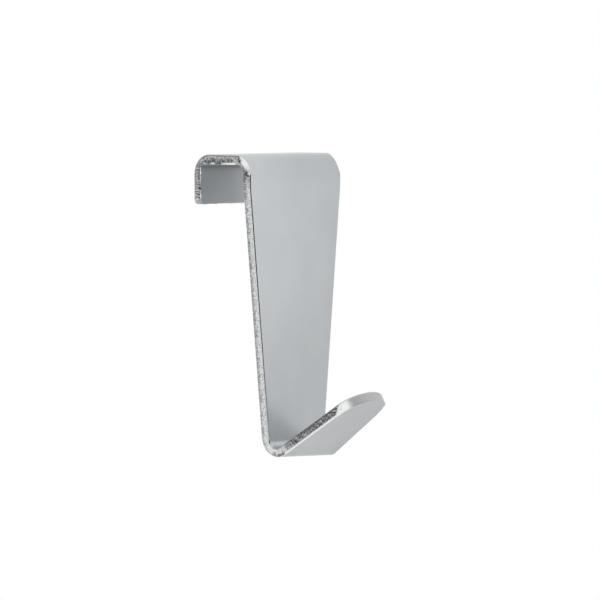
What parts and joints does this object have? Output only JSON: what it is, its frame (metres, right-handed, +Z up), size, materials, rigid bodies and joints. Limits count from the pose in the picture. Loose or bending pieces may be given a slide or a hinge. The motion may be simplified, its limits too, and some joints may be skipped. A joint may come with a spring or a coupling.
{
  "type": "partition wall hook",
  "caption": "Folded strip hook of zinc-plated sheet steel: its channel drops over a partition panel, and its tapered stem ends in an upturned arm with a round end that things hang from.",
  "frame": {"origin": "middle of the partition seat, the underside of the top leg inside the channel", "axes": "+Z up, along the stem towards the channel; X across the strip's width; the arm points towards -Y and the lip is on the +Y side"},
  "size_m": [0.025, 0.0389, 0.06],
  "materials": {
    "zinc_plated_steel": "satin zinc plating over blanked and folded sheet steel"
  },
  "bodies": {
    "root": {"hook": "zinc_plated_steel"}
  },
  "joints": []
}
